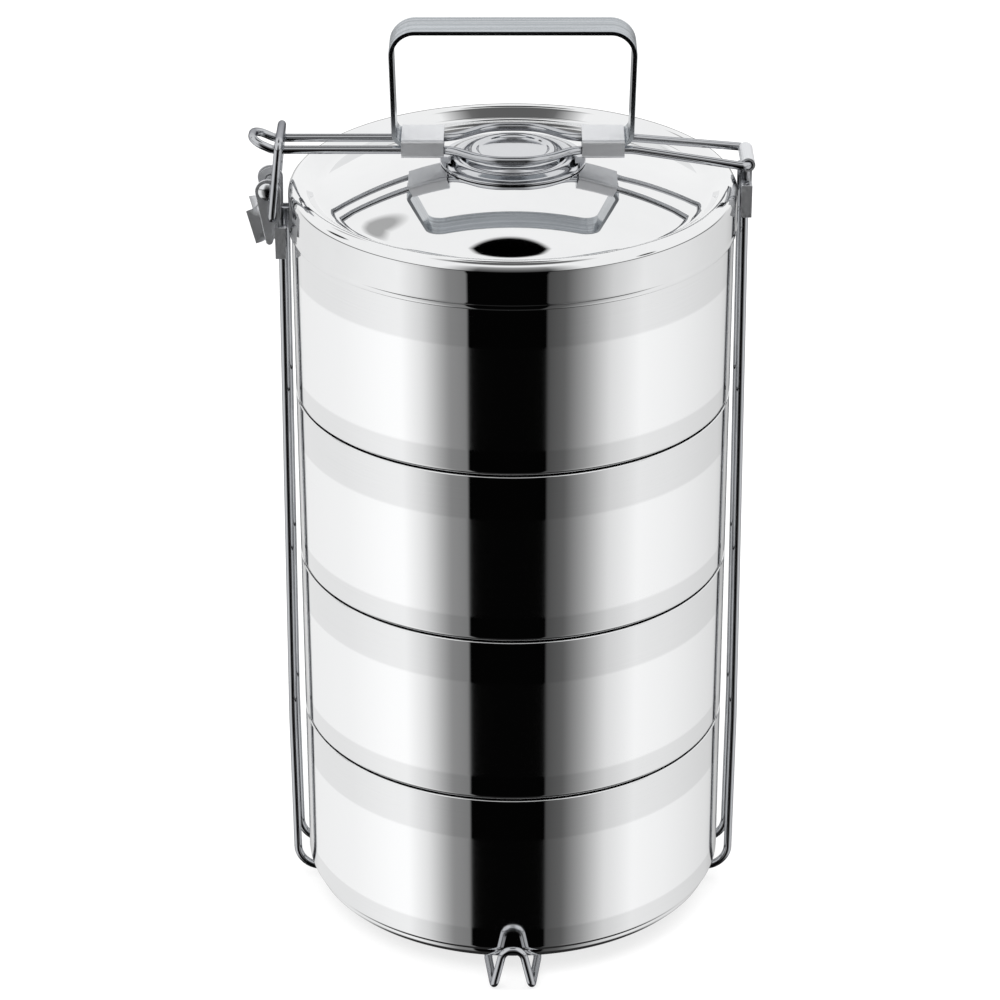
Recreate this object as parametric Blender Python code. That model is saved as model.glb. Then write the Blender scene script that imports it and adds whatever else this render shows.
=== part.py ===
"""Tiffin carrier: a stack of nesting steel bowls held by a wire carrying frame.

Metres, +Z up, floor at z = 0, the front towards -Y, the hinge towards +X and the latch towards -X.
Every length is modelled from the axis of the stack, and the whole is then set over the origin.
"""
import math

import bmesh
import bpy
from mathutils import Matrix, Vector

# Driving dimensions
BOWL_RADIUS = 0.0795         # outside of a bowl's wall
BOWL_PITCH = 0.0656          # height that each tier adds
BOWL_COUNT = 4
SHELL = 0.0008               # sheet of the bowls
NEST_DEPTH = 0.0042          # how far a bowl's base drops into the one below
NEST_INSET = 0.0016          # from the wall in to the base
NEST_CORNER = 0.0034         # rounding under the base
RIM_ROUND = 0.0006           # rounding at the rim and at the shoulder over the base

LID_SHEET = 0.0006
LID_OVERLAP = 0.0022         # skirt below the top bowl's rim
LID_SKIRT_RISE = 0.0108      # straight skirt above that rim
LID_ROLL = 0.0040            # rolled shoulder over the skirt
LID_CHANNEL_DROP = 0.0036    # from the crest of the shoulder down to the channel
LID_CHANNEL_INSET = 0.0125   # from the skirt in to the channel
LID_DOME_HEIGHT = 0.0120
LID_STOP = 0.0016            # inner bead that rests on the rim

KNOB_RADIUS = 0.026
KNOB_SHEET = 0.0008
KNOB_RIM_RADIUS = 0.015
KNOB_RISE = 0.0048           # rim over the flange

WIRE = 0.0030                # diameter of every wire
SIDE_WIRE_SPACING = 0.020    # front side wire to back side wire
SIDE_WIRE_BOW = 0.0018       # how far the side wires stand out at their widest
SIDE_WIRE_BEND = 0.0090
FLOOR_DIP_PLACE = 0.061      # where the side wires touch the floor, from the axis
FLOOR_DIP_LENGTH = 0.006

FOOT_SPACING = 0.0184        # between the two long runs of the foot wire
FOOT_REACH = 0.0077          # feet in front of the bowl's wall
FOOT_TOE_SPACING = 0.0140
FOOT_STOP_HEIGHT = 0.0165    # top of the stop between the toes

TOP_WIRE_SPACING = 0.0120    # between the two runs of the top wire
TOP_WIRE_RISE = 0.0012       # over the knob's rim
HINGE_SPREAD = 0.0200        # between the two runs at the hinge
HINGE_DROP = 0.0050          # hinge below the top wire's clips
EYE_WIDTH = 0.0344
EYE_LENGTH = 0.044
EYE_CROWN = 0.018            # straight middle of each side of the eye, before its bends
TAB_LENGTH = 0.0100          # past the crossbar
TAB_RISE = 0.0034
VALLEY_OFFSET = 0.0026       # the tab starts this far past the crossbar

HANDLE_HALF_WIDTH = 0.0440
HANDLE_RISE = 0.0412         # grip over the feet
HANDLE_WIDTH = 0.0160
HANDLE_THICK = 0.0016
HANDLE_BEND = 0.0085
HANDLE_FOOT_BEND = 0.0035
HANDLE_LEAN = 0.0010
CLIP_INNER = 0.0245          # from the axis to the clip's inner end
CLIP_LENGTH = 0.0150
CLIP_SHEET = 0.0006

SHEET = 0.0008               # brackets and lever
HINGE_SLEEVE_LENGTH = 0.0120
HINGE_SLEEVE_DROP = 0.0062   # hinge axis down to the sleeve's top
LATCH_SLEEVE_LENGTH = 0.0118
LATCH_SLOT = 0.0080          # slots for the lever's cheeks, down from the sleeve's top
LATCH_SLEEVE_DROP = 0.0119   # rivet down to the sleeve's top
EAR_RADIUS = 0.0040
EAR_HALF = 0.0066            # outside of the bracket's ears, from the middle
RIVET_RADIUS = 0.0014
RIVET_HEAD_RADIUS = 0.0026
RIVET_HEAD_HEIGHT = 0.0012
RIVET_OUT = 0.0050           # rivet outside the side wires
RIVET_DROP = 0.0154          # rivet below the crossbar's wires
LEVER_CRANK_IN = 0.0014      # loop's pivot from the rivet, towards the stack
LEVER_CRANK_DOWN = 0.0093
LEVER_TAIL_DOWN = 0.0190
LEVER_CHEEK_RADIUS = 0.0043
LEVER_PIVOT_RADIUS = 0.0030
LEVER_TAIL_RADIUS = 0.0013
LOOP_SPACING = 0.0220        # between the loop's legs
LOOP_SLACK = 0.0012          # crossbar over the top wire when it is hooked
LOOP_BEND = 0.0030

# Clearances
GAP = 0.0003                 # between pieces that touch
FRAME_CLEARANCE = 0.0003     # side wires and hinge outside the lid, so that the lid lifts past them

# Fineness of the round shapes
TURN_STEPS = 36
WIRE_SIDES = 2               # bevel resolution, giving eight sides
BEND_STEPS = 4

# Levels, from the floor up
WIRE_R = WIRE / 2
FOOT_WIRE_Z = WIRE_R
SIDE_RUN_Z = FOOT_WIRE_Z + WIRE + GAP
BASE_Z = SIDE_RUN_Z + WIRE_R + GAP
RIM_Z = BASE_Z + BOWL_COUNT * BOWL_PITCH + NEST_DEPTH - GAP
LID_RADIUS = BOWL_RADIUS + GAP + LID_SHEET
LID_CREST_Z = RIM_Z + LID_SKIRT_RISE + LID_ROLL
LID_CHANNEL_Z = LID_CREST_Z - LID_CHANNEL_DROP
DOME_RADIUS = LID_RADIUS - LID_CHANNEL_INSET
DOME_TOP_Z = LID_CHANNEL_Z + LID_DOME_HEIGHT
DOME_SPHERE = (DOME_RADIUS ** 2 + LID_DOME_HEIGHT ** 2) / (2 * LID_DOME_HEIGHT)


def dome_z(radius):
    """Height of the outside of the lid's dome."""
    return DOME_TOP_Z - DOME_SPHERE + math.sqrt(DOME_SPHERE ** 2 - radius ** 2)


KNOB_Z = dome_z(KNOB_RADIUS) + GAP
KNOB_TOP_Z = max(KNOB_Z + KNOB_RISE, DOME_TOP_Z + GAP + 2 * KNOB_SHEET)
TOP_WIRE_Z = KNOB_TOP_Z + TOP_WIRE_RISE
SIDE_WIRE_X = LID_RADIUS + FRAME_CLEARANCE + WIRE_R
SLEEVE_FACE = SIDE_WIRE_X + WIRE_R + GAP
HINGE_BORE = WIRE_R + GAP
HINGE_TUBE = HINGE_BORE + SHEET
HINGE_X = LID_RADIUS + FRAME_CLEARANCE + HINGE_TUBE
HINGE_Z = TOP_WIRE_Z - HINGE_DROP
HINGE_KNUCKLE_HALF = HINGE_SPREAD / 2 - WIRE * 0.6
RIVET_X = -(SIDE_WIRE_X + RIVET_OUT)
RIVET_Z = TOP_WIRE_Z - RIVET_DROP
LOOP_PIVOT = Vector((RIVET_X + LEVER_CRANK_IN, 0, RIVET_Z - LEVER_CRANK_DOWN))
CROSSBAR = Vector((-(SIDE_WIRE_X + GAP), 0, TOP_WIRE_Z + WIRE + LOOP_SLACK))
TAB_TIP_X = CROSSBAR.x - TAB_LENGTH
HANDLE_FOOT_Z = TOP_WIRE_Z + WIRE_R + GAP + HANDLE_THICK / 2
GRIP_Z = HANDLE_FOOT_Z + HANDLE_RISE
CHEEK_INNER = EAR_HALF + GAP
CHEEK_OUTER = CHEEK_INNER + SHEET
SLEEVE_HALF = SIDE_WIRE_SPACING / 2 + WIRE_R + GAP + SHEET
AXIS_X = (WIRE_R - TAB_TIP_X - HINGE_X - HINGE_TUBE) / 2


def clear_scene():
    for thing in list(bpy.data.objects):
        bpy.data.objects.remove(thing, do_unlink=True)


def pivot(name, place, parent=None):
    """An empty on the axis that a group of pieces turns about or slides along."""
    empty = bpy.data.objects.new(name, None)
    empty.empty_display_size = 0.01
    empty.location = Vector(place) - (PLACES[parent.name] if parent else Vector())
    empty.parent = parent
    PLACES[name] = Vector(place)
    bpy.context.scene.collection.objects.link(empty)
    return empty


def hang(thing, parent):
    """Put an object, modelled from the axis of the stack, under its pivot."""
    bpy.context.scene.collection.objects.link(thing)
    thing.parent = parent
    thing.matrix_parent_inverse = Matrix.Translation(-PLACES[parent.name])
    return thing


def finish(thing, colour, roughness):
    """The piece's own steel."""
    material = bpy.data.materials.new(thing.name + "_steel")
    material.use_nodes = True
    shader = material.node_tree.nodes["Principled BSDF"]
    shader.inputs["Base Color"].default_value = (*colour, 1)
    shader.inputs["Roughness"].default_value = roughness
    shader.inputs["Metallic"].default_value = 1
    thing.data.materials.append(material)


MIRROR_STEEL = ((0.80, 0.81, 0.82), 0.08)
SATIN_STEEL = ((0.72, 0.73, 0.75), 0.30)
WIRE_STEEL = ((0.66, 0.67, 0.69), 0.15)
SHEET_STEEL = ((0.58, 0.60, 0.63), 0.25)


def mesh_object(name, shape):
    mesh = bpy.data.meshes.new(name)
    bmesh.ops.recalc_face_normals(shape, faces=shape.faces)
    shape.to_mesh(mesh)
    shape.free()
    mesh.shade_smooth()
    mesh.set_sharp_from_angle(angle=math.radians(35))
    return bpy.data.objects.new(name, mesh)


def turned(name, profile, parent, steel):
    """A piece turned about the stack's axis from a profile of (radius, height) that starts and ends on it
    or closes on itself."""
    shape = bmesh.new()
    points = [shape.verts.new((radius, 0, height)) for radius, height in profile]
    edges = [shape.edges.new(pair) for pair in zip(points, points[1:])]
    if profile[0][0] > 0:
        edges.append(shape.edges.new((points[-1], points[0])))
    bmesh.ops.spin(shape, geom=points + edges, axis=(0, 0, 1), cent=(0, 0, 0), steps=TURN_STEPS,
                   angle=math.tau, use_merge=True)
    bmesh.ops.remove_doubles(shape, verts=shape.verts, dist=1e-6)
    thing = hang(mesh_object(name, shape), parent)
    finish(thing, *steel)
    return thing


def arc(centre, radius, start, end, steps):
    """Points of an arc in the profile's plane, angles in degrees from +radius towards +height."""
    turns = [math.radians(start + (end - start) * i / steps) for i in range(steps + 1)]
    return [(centre[0] + radius * math.cos(t), centre[1] + radius * math.sin(t)) for t in turns]


def bent(corners, steps=BEND_STEPS):
    """Centreline of a bent wire or strip: corners are (point, bend radius), each bend an arc."""
    points = []
    for i, (corner, radius) in enumerate(corners):
        corner = Vector(corner)
        if radius == 0:
            points.append(corner)
            continue
        to_last = (Vector(corners[i - 1][0]) - corner).normalized()
        to_next = (Vector(corners[(i + 1) % len(corners)][0]) - corner).normalized()
        half = to_last.angle(to_next) / 2
        centre = corner + (to_last + to_next).normalized() * radius / math.sin(half)
        start = corner + to_last * radius / math.tan(half) - centre
        end = corner + to_next * radius / math.tan(half) - centre
        for step in range(steps + 1):
            points.append(centre + start.normalized().slerp(end.normalized(), step / steps) * radius)
    return points


def wire(name, points, parent, closed=False):
    """A round wire along a bent centreline."""
    curve = bpy.data.curves.new(name, "CURVE")
    curve.dimensions = "3D"
    curve.bevel_depth = WIRE_R
    curve.bevel_resolution = WIRE_SIDES
    curve.use_fill_caps = True
    line = curve.splines.new("POLY")
    line.points.add(len(points) - 1)
    for point, place in zip(line.points, points):
        point.co = (*place, 1)
    line.use_cyclic_u = closed
    line.use_smooth = True
    thing = hang(bpy.data.objects.new(name, curve), parent)
    finish(thing, *WIRE_STEEL)
    return thing


def mirrored(corners):
    """The same corners with their other half, across the middle plane y = 0."""
    return corners + [((x, -y, z), radius) for (x, y, z), radius in reversed(corners)]


def box(low, high):
    shape = bmesh.new()
    low, high = Vector(low), Vector(high)
    place = Matrix.Translation((low + high) / 2) @ Matrix.Diagonal((*(high - low), 1))
    bmesh.ops.create_cube(shape, size=1, matrix=place)
    return shape


def rod(radius, x, z, low, high, sides=20):
    """A cylinder along Y."""
    shape = bmesh.new()
    place = Matrix.Translation((x, (low + high) / 2, z)) @ Matrix.Rotation(math.radians(90), 4, "X")
    bmesh.ops.create_cone(shape, cap_ends=True, segments=sides, radius1=radius, radius2=radius,
                          depth=high - low, matrix=place)
    return shape


def plate_round(discs, low, high, sides=20):
    """A plate across Y whose outline wraps tightly round discs of (x, z, radius)."""
    shape = bmesh.new()
    for x, z, radius in discs:
        for y in (low, high):
            place = Matrix.Translation((x, y, z)) @ Matrix.Rotation(math.radians(90), 4, "X")
            bmesh.ops.create_circle(shape, radius=radius, segments=sides, matrix=place)
    bmesh.ops.convex_hull(shape, input=shape.verts)
    loose = [v for v in shape.verts if not v.link_faces]
    bmesh.ops.delete(shape, geom=loose, context="VERTS")
    bmesh.ops.dissolve_limit(shape, angle_limit=math.radians(1), verts=shape.verts, edges=shape.edges)
    return shape


def folded(name, adds, cuts, parent, steel):
    """A piece folded from sheet: the first shape with the others joined on and the cuts taken out."""
    thing = hang(mesh_object(name, adds[0]), parent)
    for kind, shapes in (("UNION", adds[1:]), ("DIFFERENCE", cuts)):
        for number, shape in enumerate(shapes):
            tool = hang(mesh_object(f"{name}_{kind.lower()}_{number}", shape), parent)
            tool.hide_render = True
            tool.display_type = "WIRE"
            joint = thing.modifiers.new(tool.name, "BOOLEAN")
            joint.operation = kind
            joint.solver = "EXACT"
            joint.object = tool
    finish(thing, *steel)
    return thing


def make_bowl(number, parent):
    """A drawn bowl: straight wall, open rim, and a base set in by the nest inset."""
    base = BASE_Z + number * BOWL_PITCH
    shoulder = base + NEST_DEPTH
    rim = shoulder + BOWL_PITCH - GAP
    nest = BOWL_RADIUS - NEST_INSET
    inner = nest - SHELL
    inner_corner = NEST_CORNER - SHELL
    profile = [(0, base)]
    profile += arc((nest - NEST_CORNER, base + NEST_CORNER), NEST_CORNER, -90, 0, 3)
    profile += [(nest, shoulder)]
    profile += arc((BOWL_RADIUS - RIM_ROUND, shoulder + RIM_ROUND), RIM_ROUND, -90, 0, 1)
    profile += [(BOWL_RADIUS, rim - RIM_ROUND / 2)]
    profile += [(BOWL_RADIUS - RIM_ROUND / 2, rim)]
    profile += [(BOWL_RADIUS - SHELL, rim)]
    profile += [(BOWL_RADIUS - SHELL, shoulder + SHELL), (inner, shoulder + SHELL)]
    profile += reversed(arc((inner - inner_corner, base + NEST_CORNER), inner_corner, -90, 0, 3))
    profile += [(0, base + SHELL)]
    return turned(f"bowl_{number + 1}", profile, parent, MIRROR_STEEL)


def make_lid(parent):
    """The pressed lid: skirt over the rim, rolled shoulder, channel and shallow dome."""
    inner = LID_RADIUS - LID_SHEET
    roll_z = RIM_Z + LID_SKIRT_RISE
    roll_inner = LID_ROLL - LID_SHEET
    channel = LID_CHANNEL_INSET
    outer_dome = [(DOME_RADIUS * i / 5, dome_z(DOME_RADIUS * i / 5)) for i in range(6)]
    inner_dome = [(radius, height - LID_SHEET) for radius, height in outer_dome]
    slope_top = (LID_RADIUS - LID_ROLL - 0.0012, LID_CREST_Z - 0.0006)
    slope_foot = (DOME_RADIUS + channel * 0.15, LID_CHANNEL_Z)
    profile = outer_dome
    profile += [slope_foot, slope_top]
    profile += reversed(arc((LID_RADIUS - LID_ROLL, roll_z), LID_ROLL, 0, 90, 4))
    profile += [(LID_RADIUS, RIM_Z - LID_OVERLAP), (inner, RIM_Z - LID_OVERLAP)]
    stop = BOWL_RADIUS - LID_STOP + GAP
    profile += [(inner, RIM_Z + GAP), (stop, RIM_Z + GAP), (stop, RIM_Z + GAP + LID_SHEET)]
    profile += [(inner, RIM_Z + GAP + LID_STOP)]
    profile += arc((LID_RADIUS - LID_ROLL, roll_z), roll_inner, 0, 90, 4)
    profile += [(slope_top[0], slope_top[1] - LID_SHEET), (slope_foot[0], slope_foot[1] - LID_SHEET)]
    profile += reversed(inner_dome)
    return turned("lid", profile, parent, MIRROR_STEEL)


def make_knob(parent):
    """The low stamped hat welded on the lid: stepped flange, round rim and sunk centre."""
    rise = KNOB_TOP_Z - KNOB_Z
    outer = [(0, KNOB_TOP_Z - KNOB_SHEET), (KNOB_RIM_RADIUS * 0.82, KNOB_TOP_Z - KNOB_SHEET)]
    outer += [(KNOB_RIM_RADIUS * 0.90, KNOB_TOP_Z), (KNOB_RIM_RADIUS * 0.98, KNOB_TOP_Z)]
    outer += [(KNOB_RIM_RADIUS + KNOB_SHEET, KNOB_TOP_Z - KNOB_SHEET)]
    ring = (KNOB_RADIUS - KNOB_RIM_RADIUS) / 3
    for step in (1, 2):
        radius = KNOB_RIM_RADIUS + ring * step
        height = KNOB_TOP_Z - KNOB_SHEET - rise * 0.22 * step
        outer += [(radius, height + rise * 0.22), (radius + KNOB_SHEET, height)]
    outer += [(KNOB_RADIUS, KNOB_Z + KNOB_SHEET), (KNOB_RADIUS, KNOB_Z)]
    under = [(KNOB_RADIUS - KNOB_SHEET * 2, KNOB_Z + GAP)]
    under += [(KNOB_RIM_RADIUS + KNOB_SHEET, KNOB_TOP_Z - KNOB_SHEET * 2.2)]
    under += [(0, KNOB_TOP_Z - KNOB_SHEET * 1.9)]
    return turned("lid_knob", outer + under, parent, MIRROR_STEEL)


def make_side_wire(name, side, parent):
    """One long U: down from the latch bracket, under the stack with two dips to the floor, up to the hinge."""
    y = side * SIDE_WIRE_SPACING / 2
    wide = SIDE_WIRE_X + SIDE_WIRE_BOW
    level = BASE_Z + BOWL_PITCH
    dip = FLOOR_DIP_LENGTH / 2
    ramp = FLOOR_DIP_LENGTH
    half = [((wide, y, level), BOWL_RADIUS * 4), ((wide - SIDE_WIRE_BOW / 4, y, SIDE_RUN_Z), SIDE_WIRE_BEND)]
    half += [((FLOOR_DIP_PLACE + dip + ramp, y, SIDE_RUN_Z), WIRE), ((FLOOR_DIP_PLACE + dip, y, FOOT_WIRE_Z), WIRE)]
    half += [((FLOOR_DIP_PLACE - dip, y, FOOT_WIRE_Z), WIRE), ((FLOOR_DIP_PLACE - dip - ramp, y, SIDE_RUN_Z), WIRE)]
    left = [((-x, depth, z), radius) for (x, depth, z), radius in half]
    left_end = ((-SIDE_WIRE_X, y, LOOP_PIVOT.z - WIRE - GAP), 0)
    right_end = ((SIDE_WIRE_X, y, HINGE_Z - HINGE_TUBE - WIRE), 0)
    return wire(name, bent([left_end] + left + half[::-1] + [right_end], 4), parent)


def make_foot_wire(parent):
    """A closed wire across the side wires, bent at each end into two toes and a raised stop."""
    reach = BOWL_RADIUS + FOOT_REACH
    stop = FOOT_STOP_HEIGHT
    end = [((FOOT_SPACING / 2, -reach * 0.8, FOOT_WIRE_Z), WIRE * 2)]
    end += [((FOOT_TOE_SPACING / 2, -reach - WIRE_R / 2, FOOT_WIRE_Z), WIRE * 0.7)]
    end += [((FOOT_TOE_SPACING * 0.25, -reach, stop), WIRE * 1.2)]
    front = end + [((-x, y, z), radius) for (x, y, z), radius in reversed(end)]
    back = [((-x, -y, z), radius) for (x, y, z), radius in front]
    return wire("foot_wire", bent(front + back, 4), parent, closed=True)


def make_top_wire(parent):
    """The locking wire: hinge ends, two runs, the eye round the knob, the valley and the finger tab."""
    run = -TOP_WIRE_SPACING / 2
    eye = EYE_LENGTH / 2
    crown = EYE_CROWN / 2
    clip_end = CLIP_INNER + CLIP_LENGTH
    tab_z = TOP_WIRE_Z + TAB_RISE
    corners = [((HINGE_X, -WIRE_R, HINGE_Z), 0), ((HINGE_X, -HINGE_SPREAD / 2, HINGE_Z), WIRE * 0.75)]
    corners += [((clip_end + WIRE, run, TOP_WIRE_Z), WIRE * 8)]
    corners += [((eye, run, TOP_WIRE_Z), CLIP_LENGTH), ((crown, -EYE_WIDTH / 2, TOP_WIRE_Z), EYE_CROWN)]
    corners += [((-crown, -EYE_WIDTH / 2, TOP_WIRE_Z), EYE_CROWN), ((-eye, run, TOP_WIRE_Z), CLIP_LENGTH)]
    corners += [((CROSSBAR.x - VALLEY_OFFSET, run, TOP_WIRE_Z), WIRE * 2)]
    corners += [((TAB_TIP_X, run, tab_z), TOP_WIRE_SPACING * 0.4)]
    return wire("top_wire", bent(mirrored(corners)), parent)


def make_handle(parent):
    """The flat strip bent to a handle, its feet turned in under the clips."""
    foot_x = HANDLE_HALF_WIDTH - HANDLE_THICK / 2 - HANDLE_LEAN
    grip_x = HANDLE_HALF_WIDTH - HANDLE_THICK / 2
    left = [((-CLIP_INNER, 0, HANDLE_FOOT_Z), 0), ((-foot_x, 0, HANDLE_FOOT_Z), HANDLE_FOOT_BEND)]
    left += [((-grip_x, 0, GRIP_Z), HANDLE_BEND)]
    right = [((-x, y, z), radius) for (x, y, z), radius in reversed(left)]
    line = bent(left + right, 6)
    shape = bmesh.new()
    across = Vector((0, HANDLE_WIDTH / 2, 0))
    rings = []
    for i, point in enumerate(line):
        along = (line[min(i + 1, len(line) - 1)] - line[max(i - 1, 0)]).normalized()
        out = Vector((-along.z, 0, along.x)) * HANDLE_THICK / 2
        corners = (point + across + out, point - across + out, point - across - out, point + across - out)
        rings.append([shape.verts.new(corner) for corner in corners])
    for ring, after in zip(rings, rings[1:]):
        for i in range(4):
            shape.faces.new((ring[i], ring[(i + 1) % 4], after[(i + 1) % 4], after[i]))
    shape.faces.new(rings[0])
    shape.faces.new(rings[-1])
    thing = hang(mesh_object("handle_strip", shape), parent)
    finish(thing, *SHEET_STEEL)
    return thing


def make_clip(name, side, parent):
    """A sheet sleeve round both runs of the top wire and the handle's foot."""
    start, end = sorted((side * CLIP_INNER, side * (CLIP_INNER + CLIP_LENGTH)))
    half = max(TOP_WIRE_SPACING / 2 + WIRE_R, HANDLE_WIDTH / 2) + GAP
    low = TOP_WIRE_Z - WIRE_R - GAP
    high = HANDLE_FOOT_Z + HANDLE_THICK / 2 + GAP
    outer = box((start, -half - CLIP_SHEET, low - CLIP_SHEET), (end, half + CLIP_SHEET, high + CLIP_SHEET))
    hollow = box((start - CLIP_LENGTH, -half, low), (end + CLIP_LENGTH, half, high))
    return folded(name, [outer], [hollow], parent, SHEET_STEEL)


def sleeve(side, low, high):
    """A channel that wraps the outside of both side wires: its face and its two flanges."""
    face = sorted((side * SLEEVE_FACE, side * (SLEEVE_FACE + SHEET)))
    lips = sorted((side * (SIDE_WIRE_X - WIRE_R + GAP), side * (SLEEVE_FACE + SHEET / 2)))
    shapes = [box((face[0], -SLEEVE_HALF, low), (face[1], SLEEVE_HALF, high))]
    for edge in (-SLEEVE_HALF, SLEEVE_HALF - SHEET):
        shapes.append(box((lips[0], edge, low), (lips[1], edge + SHEET, high)))
    return shapes


def make_hinge_bracket(parent):
    """Sleeve on the side wires, strap, and a knuckle rolled round the top wire's ends."""
    sleeve_top = HINGE_Z - HINGE_SLEEVE_DROP
    shapes = sleeve(1, sleeve_top - HINGE_SLEEVE_LENGTH, sleeve_top)
    strap_top = HINGE_Z - (HINGE_BORE + HINGE_TUBE) / 2
    strap = box((SLEEVE_FACE, -HINGE_KNUCKLE_HALF, sleeve_top - SHEET),
                (SLEEVE_FACE + SHEET, HINGE_KNUCKLE_HALF, strap_top))
    knuckle = rod(HINGE_TUBE, HINGE_X, HINGE_Z, -HINGE_KNUCKLE_HALF, HINGE_KNUCKLE_HALF)
    bore = rod(HINGE_BORE, HINGE_X, HINGE_Z, -HINGE_KNUCKLE_HALF * 2, HINGE_KNUCKLE_HALF * 2)
    return folded("hinge_bracket", shapes + [strap, knuckle], [bore], parent, SHEET_STEEL)


def make_latch_bracket(parent):
    """Sleeve on the side wires, slotted for the lever's cheeks, then a neck and the two ears that carry the rivet."""
    sleeve_top = RIVET_Z - LATCH_SLEEVE_DROP
    neck_top = LOOP_PIVOT.z
    stem_x = -(SLEEVE_FACE + SHEET / 2)
    shapes = sleeve(-1, sleeve_top - LATCH_SLEEVE_LENGTH, sleeve_top)
    shapes.append(box((-SLEEVE_FACE - SHEET, -EAR_HALF, sleeve_top - SHEET), (-SLEEVE_FACE, EAR_HALF, neck_top)))
    discs = [(RIVET_X, RIVET_Z, EAR_RADIUS), (stem_x, neck_top - EAR_RADIUS, SHEET), (stem_x, sleeve_top, SHEET)]
    for low in (-EAR_HALF, EAR_HALF - SHEET):
        shapes.append(plate_round(discs, low, low + SHEET))
    cuts = [rod(RIVET_RADIUS + GAP, RIVET_X, RIVET_Z, -EAR_HALF * 2, EAR_HALF * 2)]
    for low, high in ((-CHEEK_OUTER - GAP, -EAR_HALF), (EAR_HALF, CHEEK_OUTER + GAP)):
        cuts.append(box((RIVET_X, low, sleeve_top - LATCH_SLOT), (-SIDE_WIRE_X, high, neck_top)))
    return folded("latch_bracket", shapes, cuts, parent, SHEET_STEEL)


def make_rivet(parent):
    """The pin through the ears and the lever, with a domed head at each end."""
    shank = CHEEK_OUTER + GAP
    profile = [(0, shank + RIVET_HEAD_HEIGHT), (RIVET_HEAD_RADIUS * 0.6, shank + RIVET_HEAD_HEIGHT * 0.8)]
    profile += [(RIVET_HEAD_RADIUS, shank + RIVET_HEAD_HEIGHT * 0.2), (RIVET_HEAD_RADIUS, shank)]
    profile += [(RIVET_RADIUS, shank)]
    profile += [(radius, -height) for radius, height in reversed(profile)]
    shape = bmesh.new()
    points = [shape.verts.new((radius, 0, height)) for radius, height in profile]
    edges = [shape.edges.new(pair) for pair in zip(points, points[1:])]
    bmesh.ops.spin(shape, geom=points + edges, axis=(0, 0, 1), cent=(0, 0, 0), steps=16, angle=math.tau,
                   use_merge=True)
    bmesh.ops.remove_doubles(shape, verts=shape.verts, dist=1e-6)
    bmesh.ops.rotate(shape, verts=shape.verts, cent=(0, 0, 0), matrix=Matrix.Rotation(math.radians(90), 3, "X"))
    bmesh.ops.translate(shape, verts=shape.verts, vec=(RIVET_X, 0, RIVET_Z))
    thing = hang(mesh_object("latch_rivet", shape), parent)
    finish(thing, *SHEET_STEEL)
    return thing


def make_lever(parent):
    """The latch lever: two cheeks on the rivet, joined by a web down the tapered tail."""
    tail_z = RIVET_Z - LEVER_TAIL_DOWN
    discs = [(RIVET_X, RIVET_Z, LEVER_CHEEK_RADIUS), (LOOP_PIVOT.x, LOOP_PIVOT.z, LEVER_PIVOT_RADIUS)]
    discs.append((RIVET_X, tail_z, LEVER_TAIL_RADIUS))
    cheeks = [plate_round(discs, low, low + SHEET) for low in (-CHEEK_OUTER, CHEEK_INNER)]
    edge = [(RIVET_X - LEVER_CHEEK_RADIUS + SHEET / 2, LOOP_PIVOT.z + LEVER_PIVOT_RADIUS, SHEET / 2)]
    edge.append((RIVET_X - LEVER_TAIL_RADIUS + SHEET / 2, tail_z, SHEET / 2))
    web = plate_round(edge, -CHEEK_OUTER + SHEET / 2, CHEEK_OUTER - SHEET / 2)
    holes = [rod(RIVET_RADIUS + GAP, RIVET_X, RIVET_Z, -CHEEK_OUTER * 2, CHEEK_OUTER * 2)]
    holes.append(rod(WIRE_R + GAP, LOOP_PIVOT.x, LOOP_PIVOT.z, -CHEEK_OUTER * 2, CHEEK_OUTER * 2))
    return folded("latch_lever", cheeks + [web], holes, parent, SHEET_STEEL)


def make_loop(parent):
    """The latch loop: ends in the lever's holes, two legs and the crossbar over the top wire."""
    leg = -LOOP_SPACING / 2
    corners = [((LOOP_PIVOT.x, -CHEEK_INNER, LOOP_PIVOT.z), 0)]
    corners += [((LOOP_PIVOT.x, leg, LOOP_PIVOT.z), WIRE_R * 1.2)]
    corners += [((CROSSBAR.x, leg, CROSSBAR.z), LOOP_BEND)]
    return wire("latch_loop", bent(mirrored(corners)), parent)


clear_scene()
PLACES = {}
axis = pivot("stack_axis", (0, 0, 0))
axis.location = (AXIS_X, 0, 0)

make_side_wire("side_wire_front", -1, axis)
make_side_wire("side_wire_back", 1, axis)
make_foot_wire(axis)
make_hinge_bracket(axis)
make_latch_bracket(axis)
make_rivet(axis)

top_hinge = pivot("top_hinge", (HINGE_X, 0, HINGE_Z), axis)
make_top_wire(top_hinge)
make_handle(top_hinge)
make_clip("handle_clip_left", -1, top_hinge)
make_clip("handle_clip_right", 1, top_hinge)

rivet_axis = pivot("rivet_axis", (RIVET_X, 0, RIVET_Z), axis)
make_lever(rivet_axis)
loop_axis = pivot("loop_axis", LOOP_PIVOT, rivet_axis)
make_loop(loop_axis)

below = axis
for number in range(BOWL_COUNT):
    below = pivot(f"bowl_{number + 1}_seat", (0, 0, BASE_Z + number * BOWL_PITCH), below)
    make_bowl(number, below)
lid_seat = pivot("lid_seat", (0, 0, RIM_Z), below)
make_lid(lid_seat)
make_knob(lid_seat)
bpy.context.view_layer.update()
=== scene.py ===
"""Tiffin carrier: the looks of a stack of steel bowls in a wire frame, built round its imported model."""
import math

import bmesh
import bpy
from mathutils import Matrix, Vector


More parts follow.
